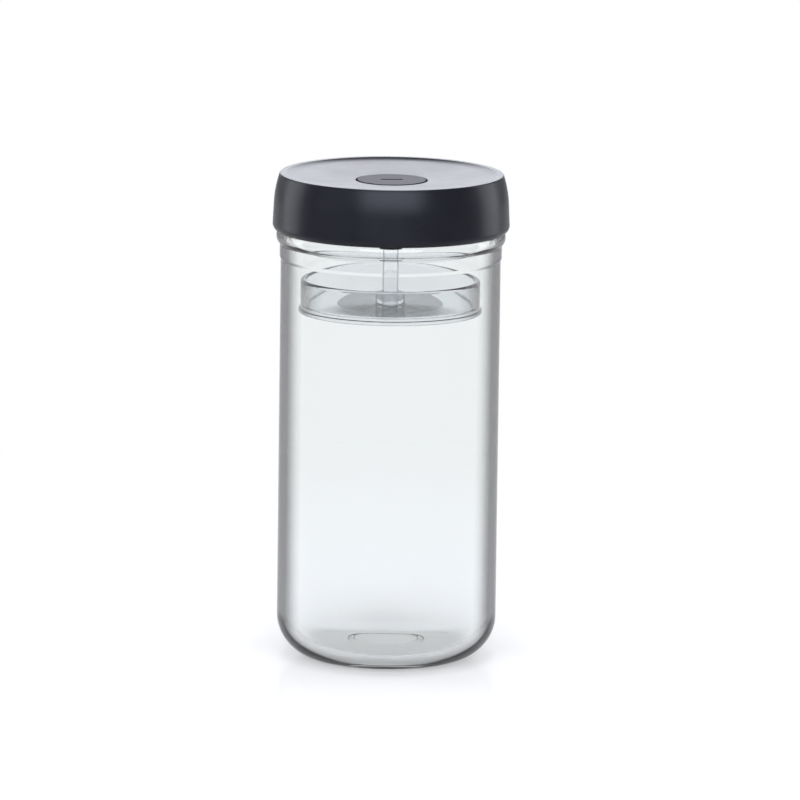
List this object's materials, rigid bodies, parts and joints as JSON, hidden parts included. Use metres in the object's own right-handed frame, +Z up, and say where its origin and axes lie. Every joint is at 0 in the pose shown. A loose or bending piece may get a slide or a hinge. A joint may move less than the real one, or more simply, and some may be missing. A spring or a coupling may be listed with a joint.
{
  "type": "fermentation jar",
  "caption": "Tall clear glass jar with a rounded base, a dark screw lid with a central vent button, and a clear sprung press cup hanging from the lid to hold food under brine.",
  "frame": {"origin": "middle of the base, on the surface that the jar stands on", "axes": "+Z up along the jar's axis, the front faces -Y"},
  "size_m": [0.1022, 0.1022, 0.2118],
  "materials": {
    "jar_glass": "clear polished glass",
    "charcoal_plastic": "satin moulded charcoal",
    "dark_plastic": "matt moulded black",
    "button_grey": "fine matt grey, soft to the touch",
    "silicone": "translucent grey silicone",
    "spring_steel": "bright drawn stainless wire",
    "clear_plastic": "clear polished plastic"
  },
  "bodies": {
    "jar": {"jar_glass": "jar_glass"},
    "seal": {"lid_gasket": "silicone"},
    "lid": {"lid_cover": "charcoal_plastic", "lid_liner": "dark_plastic", "vent_valve": "silicone", "press_guide": "dark_plastic", "button_spring": "spring_steel", "press_spring": "spring_steel"},
    "button": {"valve_button": "button_grey"},
    "press": {"press_stem": "clear_plastic", "press_cup": "clear_plastic"}
  },
  "joints": [
    {"name": "lid_lift", "type": "slide", "parent": "jar", "child": "seal", "axis": [0, 0, 1], "range_m": [0, 0.0601]},
    {"name": "lid_turn", "type": "hinge", "parent": "seal", "child": "lid", "pos_m": [0, 0, 0.19], "axis": [0, 0, 1], "range_deg": [0, 1080]},
    {"name": "button_press", "type": "slide", "parent": "lid", "child": "button", "axis": [0, 0, -1], "range_m": [0, 0.002], "stiffness_N_per_m": 600, "springref_m": -0.003, "deforming": ["button_spring", "vent_valve"]},
    {"name": "press_slide", "type": "slide", "parent": "lid", "child": "press", "axis": [0, 0, 1], "range_m": [0, 0.008], "stiffness_N_per_m": 250, "springref_m": -0.016, "deforming": ["press_spring"]}
  ],
  "couplings": [
    {"joint": "lid_lift", "follows": "lid_turn", "m_per_rad": 0.0031831}
  ]
}
